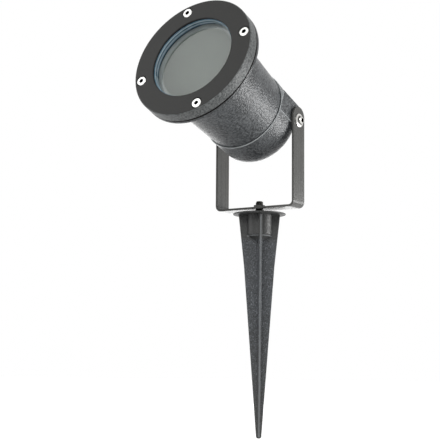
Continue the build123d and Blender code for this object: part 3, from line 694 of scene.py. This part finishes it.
# %% [markdown]
# The seal round the glass is blue-grey silicone, shiny where it was moulded against polished
# steel. Two thin ribs run round its bore and carry a painted highlight, and its foot against the
# glass is painted dark as shade. The earth lead is half green and half yellow all along, as the
# rules for wiring ask.

# %% Glass seal and earth lead
GLASS_FRONT = 84.6
OUTER_RIB, INNER_RIB = (88.1, 88.7), (85.9, 86.6)
SEAL_FOOT = (GLASS_FRONT - 1.0, GLASS_FRONT + 0.25)
SEAL_CLOUD_SIZE, RIB_DEPTH = 9.0, 0.2


def blue_grey_silicone():
    """Blue-grey and smooth, with painted highlights on two ribs and painted shade at its foot."""
    material, tree, shader, where = new_material("blue_grey_silicone")
    depth = head_place(tree, where)["forwards"]
    cloud = add(tree, "ShaderNodeTexNoise", {"Vector": where, "Scale": per_metre(SEAL_CLOUD_SIZE)})
    paler = add(tree, "ShaderNodeMapRange", (cloud, *NOISE_SPAN, 0.0, 1.0))
    tone = add(tree, "ShaderNodeMix", {
        0: paler, 6: colour("#476373"), 7: colour("#597585")}, data_type="RGBA")
    # Painted highlights on the two ribs.
    outer = band(tree, depth, *OUTER_RIB, soft=0.2)
    inner = overlap(tree, band(tree, depth, *INNER_RIB, soft=0.4), 0.55)
    ribs = add(tree, "ShaderNodeMath", (outer, inner), operation="MAXIMUM")
    tone = add(tree, "ShaderNodeMix", {0: ribs, 6: tone, 7: colour("#C2D0D8")}, data_type="RGBA")
    # Painted shade at the seal's foot.
    foot = band(tree, depth, *SEAL_FOOT, soft=0.2)
    fill(tree, shader, {
        "Base Color": add(tree, "ShaderNodeMix", {
            0: foot, 6: tone, 7: colour("#1B2B34")}, data_type="RGBA"),
        "Roughness": add(tree, "ShaderNodeMapRange", (cloud, *NOISE_SPAN, 0.26, 0.34)),
        "Normal": add(tree, "ShaderNodeBump", {"Height": ribs, "Distance": RIB_DEPTH * MM})})
    return material


def green_and_yellow_silicone():
    """Green under and yellow over, split through the head's middle plane."""
    material, tree, shader, where = new_material("green_and_yellow_silicone_insulation")
    half = add(tree, "ShaderNodeMapRange", (head_place(tree, where)["up"], -0.05, 0.05, 0.0, 1.0))
    fine = add(tree, "ShaderNodeTexNoise", {"Vector": where, "Scale": per_metre(FINE_GRAIN)})
    fill(tree, shader, {
        "Base Color": add(tree, "ShaderNodeMix", {
            0: half, 6: colour("#3E8B2F"), 7: colour("#D9C42A")}, data_type="RGBA"),
        "Roughness": add(tree, "ShaderNodeMapRange", (fine, *NOISE_SPAN, 0.38, 0.48))})
    return material


seal_silicone, earth_silicone = blue_grey_silicone(), green_and_yellow_silicone()
print("made", seal_silicone.name, "and", earth_silicone.name)

# %% [markdown]
# ## Dressing the solids
#
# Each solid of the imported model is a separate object, so it takes its finish whole. A table from
# piece to finish shows at a glance which pieces share one.

# %% Give every solid its finish
finishes = {
    "ground_spike": spike_finish, "mounting_stud": black_zinc, "yoke": strip_coat,
    "housing": textured_coat, "bezel_ring": bezel_coat, "bezel_screws": bezel_screw_steel,
    "pivot_screws": pivot_screw_steel, "friction_washers": hard_fibre,
    "front_glass": etched_glass, "glass_seal": seal_silicone, "glass_seat_ring": black_rubber,
    "body_gasket": foam_rubber, "lamp_body": mirror_coat, "lamp_lens": lamp_glass,
    "lamp_pins": nickel, "lampholder": steatite, "holder_plate": zinc, "holder_screws": zinc,
    "plate_screws": zinc, "terminal_block": natural_nylon, "terminal_tubes": brass,
    "clamp_screws": zinc, "block_screws": zinc, "live_lead": brown_silicone,
    "neutral_lead": blue_silicone, "earth_lead": earth_silicone, "earth_tag": zinc,
    "earth_screw": brass, "gland_body": black_polyamide, "gland_seal": black_rubber,
    "gland_nut": black_polyamide, "gland_locknut": black_polyamide,
}
for name, finish in finishes.items():
    solid = nodes[name].data
    solid.materials.clear()
    solid.materials.append(finish)
print("finished", len(finishes), "of", len(nodes), "solids")

# %% [markdown]
# ## The stud's rolled thread
#
# The yoke screws onto an M6 stud, and a few of its turns show over the yoke. A thread is one
# ridge that climbs a pitch a turn. It could be a stack of rings, but then the turns would close
# on themselves, so a Geometry Nodes tree sweeps a three-sided profile along a spiral. It sets
# that on a plain core, with the hexagon head that the spike is moulded round.

# %% Sizes of the stud, and its bars
STUD = {
    "Core Radius": 2.35, "Crest Radius": 2.88, "Pitch": 1.0, "Shank Bottom": -12.6,
    "Shank Top": 9.7, "End Chamfer": 0.5, "Head Radius": 10.0 / math.sqrt(3.0), "Head Height": 4.0}
CORE_SIDES, HEAD_SIDES = 48, 6


def stud_bar(tree, start, end, radius, top_radius, sides):
    """A closed bar between two heights, with its own radius at the top."""
    height = add(tree, "ShaderNodeMath", (end, start), operation="SUBTRACT")
    cone = add(tree, "GeometryNodeMeshCone", {
        "Vertices": sides, "Radius Bottom": radius, "Radius Top": top_radius, "Depth": height})
    lift = add(tree, "ShaderNodeCombineXYZ", {"Z": start})
    return add(tree, "GeometryNodeTransform", {"Geometry": cone, "Translation": lift})


print("a stud with", len(STUD), "named sizes")

# %% The thread's ridge
THREAD_START = 0.4
STEPS_A_TURN = 32


def stud_thread(tree, given):
    """The ridge: a triangle swept up a spiral, its corner on the crest."""
    pitch, bottom, top = given["Pitch"], given["Shank Bottom"], given["Shank Top"]
    length = add(tree, "ShaderNodeMath", (top, bottom), operation="SUBTRACT")
    climb = add(tree, "ShaderNodeMath", (length, pitch), operation="SUBTRACT")
    turns = add(tree, "ShaderNodeMath", (climb, pitch), operation="DIVIDE")
    ridge = add(tree, "ShaderNodeMath", (pitch, 1.0 / math.sqrt(3.0)), operation="MULTIPLY")
    path_radius = add(tree, "ShaderNodeMath", (given["Crest Radius"], ridge), operation="SUBTRACT")
    spiral = add(tree, "GeometryNodeCurveSpiral", {
        "Resolution": STEPS_A_TURN, "Rotations": turns,
        "Start Radius": path_radius, "End Radius": path_radius, "Height": climb})
    level = add(tree, "GeometryNodeSetCurveNormal", {"Curve": spiral}, mode="Z_UP")
    profile = add(tree, "GeometryNodeCurvePrimitiveCircle", {"Resolution": 3, "Radius": ridge})
    swept = add(tree, "GeometryNodeCurveToMesh", {
        "Curve": level, "Profile Curve": profile, "Fill Caps": True})
    first = add(tree, "ShaderNodeMath", (pitch, THREAD_START), operation="MULTIPLY")
    start = add(tree, "ShaderNodeMath", (bottom, first), operation="ADD")
    lift = add(tree, "ShaderNodeCombineXYZ", {"Z": start})
    return add(tree, "GeometryNodeTransform", {"Geometry": swept, "Translation": lift})


print("its thread climbs", STUD["Pitch"], "mm a turn")

# %% The whole stud as a tree
def stud_tree():
    """The whole stud, whose sizes in millimetres are the tree's inputs."""
    tree = bpy.data.node_groups.new("threaded_stud", "GeometryNodeTree")
    for name, value in STUD.items():
        size = tree.interface.new_socket(name, in_out="INPUT", socket_type="NodeSocketFloat")
        size.default_value = value
    tree.interface.new_socket("Finish", in_out="INPUT", socket_type="NodeSocketMaterial")
    tree.interface.new_socket("Geometry", in_out="OUTPUT", socket_type="NodeSocketGeometry")
    given = add(tree, "NodeGroupInput").outputs
    bottom, top = given["Shank Bottom"], given["Shank Top"]
    core, head = given["Core Radius"], given["Head Radius"]
    neck = add(tree, "ShaderNodeMath", (top, given["End Chamfer"]), operation="SUBTRACT")
    end_radius = add(tree, "ShaderNodeMath", (core, given["End Chamfer"]), operation="SUBTRACT")
    head_bottom = add(tree, "ShaderNodeMath", (bottom, given["Head Height"]), operation="SUBTRACT")
    joined = add(tree, "GeometryNodeJoinGeometry")
    for part in (
            stud_thread(tree, given),
            stud_bar(tree, bottom, neck, core, core, CORE_SIDES),
            stud_bar(tree, neck, top, core, end_radius, CORE_SIDES),
            stud_bar(tree, head_bottom, bottom, head, head, HEAD_SIDES)):
        fill(tree, joined, {"Geometry": part})
    metres = add(tree, "GeometryNodeTransform", {"Geometry": joined, "Scale": (MM, MM, MM)})
    real = add(tree, "GeometryNodeRealizeInstances", {"Geometry": metres})
    clad = add(tree, "GeometryNodeSetMaterial", {"Geometry": real, "Material": given["Finish"]})
    add(tree, "NodeGroupOutput", {"Geometry": clad})
    return tree


stud_nodes = stud_tree()
print("the stud's tree has", len(stud_nodes.nodes), "nodes")

# %% [markdown]
# The tree runs as a modifier on an empty mesh. Its inputs are set by their identifiers before it
# is first worked out, and the result is kept as a plain mesh.

# %% Growing the stud from its tree
def grow(name, tree, inputs):
    """Runs a Geometry Nodes tree with the given inputs and keeps the result as a mesh."""
    seed = bpy.data.objects.new(name + "_seed", bpy.data.meshes.new(name + "_seed"))
    bpy.context.scene.collection.objects.link(seed)
    modifier = seed.modifiers.new("nodes", "NODES")
    modifier.node_group = tree
    for item in tree.interface.items_tree:
        if item.in_out == "INPUT" and item.name in inputs:
            modifier[item.identifier] = inputs[item.name]
    evaluated = seed.evaluated_get(bpy.context.evaluated_depsgraph_get())
    mesh = bpy.data.meshes.new_from_object(evaluated)
    bpy.data.objects.remove(seed)
    mesh.name = name
    piece = bpy.data.objects.new(name, mesh)
    bpy.context.scene.collection.objects.link(piece)
    return piece


threaded_stud = grow("threaded_stud", stud_nodes, dict(STUD, Finish=black_zinc))
shank = (STUD["Shank Bottom"] + STUD["Pitch"]) * MM
crest = max(math.hypot(v.co.x, v.co.y) for v in threaded_stud.data.vertices if v.co.z > shank)
print("stud:", len(threaded_stud.data.polygons), "faces, crest radius", round(crest / MM, 2), "mm")
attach(threaded_stud, "spike")
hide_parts("mounting_stud")

# %% [markdown]
# ## The glass pane
#
# A cut disc of glass gets its sharp edges ground off before it is toughened. A bevel on a plain
# disc would do, but turning the pane from its outline shows where each edge comes from: rings of
# points at each corner, joined by faces. It stands a hair clear of the seal in front and of the
# seat behind, so that no two faces lie in one plane.

# %% Ground pane
PANE_OUTLINE = ((31.3, 80.66), (31.9, 81.2), (31.9, 84.0), (31.3, 84.54))
PANE_SIDES = 160


def turned_pane(name, outline, sides):
    """A closed disc turned about the head's middle line; the outline runs from back to front."""
    points = []
    for radius, depth in outline:
        for step in range(sides):
            angle = math.tau * step / sides
            points.append(Vector((radius * math.cos(angle), radius * math.sin(angle), depth)) * MM)
    faces = [tuple(reversed(range(sides)))]
    for ring in range(len(outline) - 1):
        for step in range(sides):
            first, second = ring * sides + step, ring * sides + (step + 1) % sides
            faces.append((first, second, second + sides, first + sides))
    last = (len(outline) - 1) * sides
    faces.append(tuple(range(last, last + sides)))
    mesh = bpy.data.meshes.new(name)
    mesh.from_pydata(points, [], faces)
    mesh.transform(head_matrix)
    mesh.update()
    piece = bpy.data.objects.new(name, mesh)
    bpy.context.scene.collection.objects.link(piece)
    return piece


glass_pane = turned_pane("glass_pane", PANE_OUTLINE, PANE_SIDES)
glass_pane.data.materials.append(etched_glass)
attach(glass_pane, "head")
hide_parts("front_glass")
print("pane:", len(glass_pane.data.polygons), "faces")

# %% [markdown]
# ## Studio
#
# The light stands on a pale floor. Floor and world are plain white where they are seen, mirrored
# or seen through glass, which is what the ray's kind tells, and the world is nearly dark as a
# lamp, so that the soft lamps do the shading. The floor keeps the light's shadow. Seen at a low
# angle it would turn grey far away, so its own white grows with the distance.

# %% Floor
SEEN_RAYS = ("Is Camera Ray", "Is Glossy Ray", "Is Transmission Ray")
FLOOR_REACH = 6.0
FLOOR_NEAR, FLOOR_FAR = 0.2, 1.2
FLOOR_SEEN_NEAR, FLOOR_SEEN_FAR = 0.60, 0.96


def seen(tree):
    """One where a ray is of a kind that shows the background, else nought."""
    rays = add(tree, "ShaderNodeLightPath").outputs
    share = rays[SEEN_RAYS[0]]
    for kind in SEEN_RAYS[1:]:
        share = add(tree, "ShaderNodeMath", (share, rays[kind]), operation="MAXIMUM")
    return share


def white_studio_floor():
    """Matt pale paper that the camera sees as white wherever no shadow falls."""
    material, tree, shader, where = new_material("white_studio_floor")
    blotch = add(tree, "ShaderNodeTexNoise", {"Vector": where, "Scale": per_metre(40.0)})
    paper = add(tree, "ShaderNodeMapRange", (blotch, *NOISE_SPAN, 0.78, 0.82))
    away = add(tree, "ShaderNodeVectorMath", (where,), operation="LENGTH")
    level = add(tree, "ShaderNodeMapRange", (
        away, FLOOR_NEAR, FLOOR_FAR, FLOOR_SEEN_NEAR, FLOOR_SEEN_FAR))
    fill(tree, shader, {
        "Base Color": add(tree, "ShaderNodeCombineColor", (paper, paper, paper)),
        "Roughness": 0.9,
        "Emission Color": colour("#FFFFFF"),
        "Emission Strength": overlap(tree, seen(tree), level)})
    return material


corners = [
    (x * FLOOR_REACH, y * FLOOR_REACH, SPIKE_TIP * MM)
    for x, y in ((-1, -1), (1, -1), (1, 1), (-1, 1))]
floor_mesh = bpy.data.meshes.new("floor")
floor_mesh.from_pydata(corners, [], [(0, 1, 2, 3)])
floor_mesh.materials.append(white_studio_floor())
floor = bpy.data.objects.new("floor", floor_mesh)
bpy.context.scene.collection.objects.link(floor)
print("floor at", SPIKE_TIP, "mm")

# %% World
WORLD_AS_LAMP = 0.10

world = bpy.data.worlds.new("studio")
world.use_nodes = True
bpy.context.scene.world = world
sky = world.node_tree
sky.nodes.clear()
as_lamp, as_seen = [
    add(sky, "ShaderNodeBackground", {"Color": colour("#FFFFFF"), "Strength": strength})
    for strength in (WORLD_AS_LAMP, 1.0)]
whole = add(sky, "ShaderNodeMixShader", (seen(sky), as_lamp, as_seen))
add(sky, "ShaderNodeOutputWorld", {"Surface": whole})
print("the world is white where seen and", WORLD_AS_LAMP, "as a lamp")

# %% [markdown]
# The largest lamp is in front and above. A small one stands low behind on the right, and its
# reflection is the sheen along the head's side. Two weaker ones lift the left and the back, and
# a small one glints in the screws of the bezel. Soft square lamps stand in for the boxes of
# cloth that a studio uses, because a small bare lamp would draw hard edges of shade.

# %% Lamps
def soft_lamp(name, towards, distance, size, power, target=(0.0, 0.0, 0.02)):
    """A square soft lamp in a direction from a target, aimed at it and hidden from the camera."""
    data = bpy.data.lights.new(name, "AREA")
    data.size = size
    data.energy = power
    lamp = bpy.data.objects.new(name, data)
    bpy.context.scene.collection.objects.link(lamp)
    direction = Vector(towards).normalized()
    lamp.location = Vector(target) + direction * distance
    lamp.rotation_mode = "QUATERNION"
    lamp.rotation_quaternion = direction.to_track_quat("Z", "Y")
    lamp.visible_camera = False
    return lamp


# Each lamp's direction, then its distance and size in metres, and its power in watts.
lamps = [
    soft_lamp("key_lamp", (0.30, -0.78, 0.55), 1.2, 0.8, 12.0),
    soft_lamp("sheen_lamp", (0.31, 0.26, -0.07), 0.41, 0.2, 1.8),
    soft_lamp("glint_lamp", (-0.555, -0.52, 0.647), 1.0, 0.35, 0.45, target=face_centre),
    soft_lamp("left_lamp", (-0.90, -0.50, 0.30), 1.2, 0.8, 3.0),
    soft_lamp("back_lamp", (-0.50, 0.80, -0.05), 1.0, 0.5, 1.6),
]
print("lamps:", ", ".join(lamp.name for lamp in lamps))
